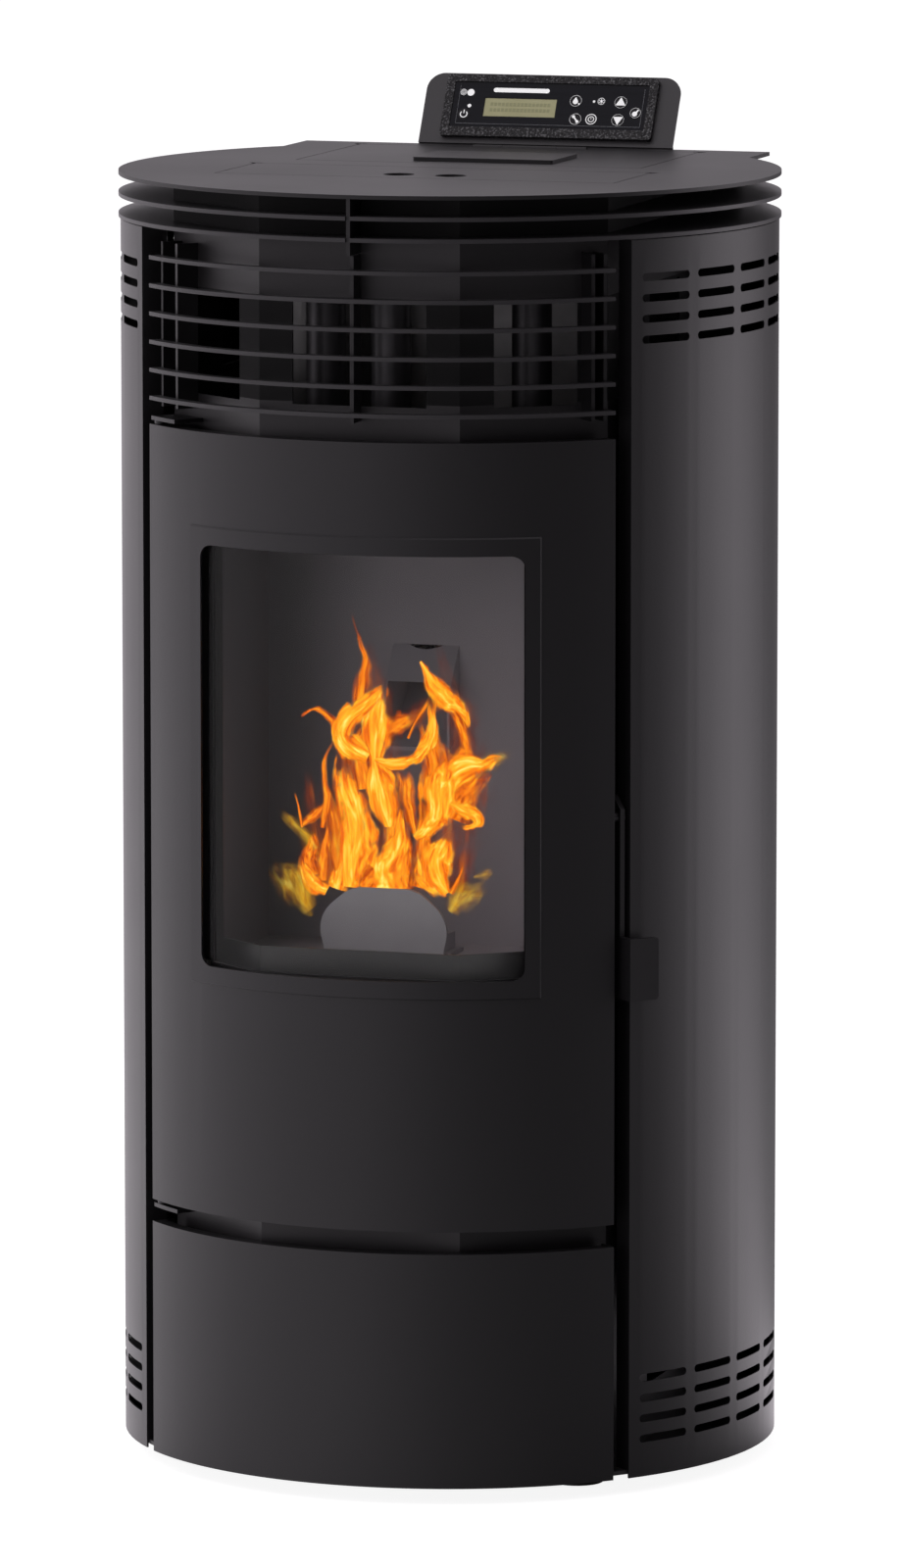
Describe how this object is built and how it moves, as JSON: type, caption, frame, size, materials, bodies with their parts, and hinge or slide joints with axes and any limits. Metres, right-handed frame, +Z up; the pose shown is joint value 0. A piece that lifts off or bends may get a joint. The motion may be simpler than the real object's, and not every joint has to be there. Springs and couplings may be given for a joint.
{
  "type": "pellet stove",
  "caption": "Round free-standing wood pellet stove with a glazed fire door, slatted warm-air grille, stacked crown discs, hopper lid and a leaning control panel; door, lids, keys and feed move.",
  "frame": {"origin": "centre of the bounding box at floor level", "axes": "+Z up, -Y out of the front where the fire door is, +X to the right as seen from the front"},
  "size_m": [0.5028, 0.5236, 1.0344],
  "materials": {
    "painted_steel": "satin heat-resistant anthracite paint",
    "black_steel": "matt black heat-resistant paint",
    "bare_steel": "plain sheet or turned steel",
    "burner_steel": "heat-stained stainless steel",
    "firebox_steel": "sooty welded steel plate",
    "motor_metal": "die-cast motor body",
    "bronze": "sintered bronze",
    "ceramic_glass": "clear ceramic glass",
    "seal_rope": "woven glass-fibre rope",
    "foot_rubber": "moulded rubber with a steel stud",
    "black_plastic": "fine-textured black moulding",
    "gloss_black": "glossy printed film",
    "lcd": "olive green reflective display",
    "key_dome": "domed film key"
  },
  "bodies": {
    "stove_body": {"side_panel_left": "painted_steel", "side_panel_right": "painted_steel", "lower_front_panel": "painted_steel", "top_plate": "painted_steel", "crown_discs": "painted_steel", "crown_fins": "painted_steel", "grille_slats": "painted_steel", "grille_ribs": "painted_steel", "display_bracket": "painted_steel", "hinge_brackets": "painted_steel", "front_frame": "black_steel", "frame_walls": "black_steel", "base_plate": "black_steel", "rear_panel": "black_steel", "hopper": "bare_steel", "auger_tube": "bare_steel", "smoke_duct": "bare_steel", "fan_housing": "bare_steel", "blower_housing": "bare_steel", "air_intake_pipe": "bare_steel", "exchanger_tubes": "bare_steel", "lid_hinge": "bare_steel", "door_catch": "bare_steel", "frame_screws": "bare_steel", "igniter": "bare_steel", "firebox": "firebox_steel", "auger_motor": "motor_metal", "fan_motor": "motor_metal", "blower_motor": "motor_metal", "auger_bushes": "bronze", "rubber_feet": "foot_rubber", "display_housing": "black_plastic", "mains_inlet": "black_plastic", "control_board": "black_plastic", "display_face": "gloss_black", "lcd_screen": "lcd"},
    "fire_door": {"door_skin": "painted_steel", "window_trim": "painted_steel", "window_glass": "ceramic_glass", "door_seals": "seal_rope", "door_frame": "black_steel", "glass_clips": "bare_steel", "handle_pin": "bare_steel"},
    "door_handle": {"handle_lever": "painted_steel"},
    "hopper_lid_body": {"hopper_lid": "painted_steel", "lid_handle": "painted_steel"},
    "cleaning_cover_body": {"cleaning_cover": "painted_steel"},
    "burn_pot_body": {"burn_pot": "burner_steel"},
    "ash_drawer_body": {"ash_drawer": "bare_steel"},
    "auger": {"auger_screw": "bare_steel"},
    "smoke_impeller": {"fan_impeller": "bare_steel"},
    "air_rotor": {"blower_rotor": "bare_steel"},
    "rocker": {"mains_switch": "black_plastic"},
    "key_power_cap": {"key_power": "key_dome"},
    "key_flame_cap": {"key_flame": "key_dome"},
    "key_settings_cap": {"key_settings": "key_dome"},
    "key_clock_cap": {"key_clock": "key_dome"},
    "key_up_cap": {"key_up": "key_dome"},
    "key_down_cap": {"key_down": "key_dome"},
    "key_load_cap": {"key_load": "key_dome"}
  },
  "joints": [
    {"name": "fire_door_hinge", "type": "hinge", "parent": "stove_body", "child": "fire_door", "pos_m": [-0.17332, -0.18057, 0.5025], "axis": [0, 0, -1], "range_deg": [0, 110]},
    {"name": "door_handle_pivot", "type": "hinge", "parent": "fire_door", "child": "door_handle", "pos_m": [0.18208, -0.16965, 0.514], "axis": [-0.6587, -0.7524, 0], "range_deg": [0, 30]},
    {"name": "hopper_lid_hinge", "type": "hinge", "parent": "stove_body", "child": "hopper_lid_body", "pos_m": [0, 0.19625, 0.98], "axis": [-1, 0, 0], "range_deg": [0, 85]},
    {"name": "cleaning_cover_lift", "type": "slide", "parent": "stove_body", "child": "cleaning_cover_body", "axis": [0, 0, 1], "range_m": [0, 0.06]},
    {"name": "burn_pot_lift", "type": "slide", "parent": "stove_body", "child": "burn_pot_body", "axis": [0, 0, 1], "range_m": [0, 0.06]},
    {"name": "ash_drawer_slide", "type": "slide", "parent": "stove_body", "child": "ash_drawer_body", "axis": [0, -1, 0], "range_m": [0, 0.027]},
    {"name": "auger_spin", "type": "hinge", "parent": "stove_body", "child": "auger", "pos_m": [0, -0.05625, 0.64], "axis": [0, 0.766, -0.6428], "continuous": true},
    {"name": "smoke_impeller_spin", "type": "hinge", "parent": "stove_body", "child": "smoke_impeller", "pos_m": [-0.092, 0.10175, 0.15], "axis": [0, 1, 0], "continuous": true},
    {"name": "air_rotor_spin", "type": "hinge", "parent": "stove_body", "child": "air_rotor", "pos_m": [0, -0.14525, 0.088], "axis": [1, 0, 0], "continuous": true},
    {"name": "rocker_tip", "type": "hinge", "parent": "stove_body", "child": "rocker", "pos_m": [0.12, 0.20895, 0.167], "axis": [1, 0, 0], "range_deg": [0, 18]},
    {"name": "key_power_press", "type": "slide", "parent": "stove_body", "child": "key_power_cap", "axis": [0, 0.8746, -0.4848], "range_m": [0, 0.0005], "stiffness_N_per_m": 400},
    {"name": "key_flame_press", "type": "slide", "parent": "stove_body", "child": "key_flame_cap", "axis": [0, 0.8746, -0.4848], "range_m": [0, 0.0005], "stiffness_N_per_m": 400},
    {"name": "key_settings_press", "type": "slide", "parent": "stove_body", "child": "key_settings_cap", "axis": [0, 0.8746, -0.4848], "range_m": [0, 0.0005], "stiffness_N_per_m": 400},
    {"name": "key_clock_press", "type": "slide", "parent": "stove_body", "child": "key_clock_cap", "axis": [0, 0.8746, -0.4848], "range_m": [0, 0.0005], "stiffness_N_per_m": 400},
    {"name": "key_up_press", "type": "slide", "parent": "stove_body", "child": "key_up_cap", "axis": [0, 0.8746, -0.4848], "range_m": [0, 0.0005], "stiffness_N_per_m": 400},
    {"name": "key_down_press", "type": "slide", "parent": "stove_body", "child": "key_down_cap", "axis": [0, 0.8746, -0.4848], "range_m": [0, 0.0005], "stiffness_N_per_m": 400},
    {"name": "key_load_press", "type": "slide", "parent": "stove_body", "child": "key_load_cap", "axis": [0, 0.8746, -0.4848], "range_m": [0, 0.0005], "stiffness_N_per_m": 400}
  ]
}
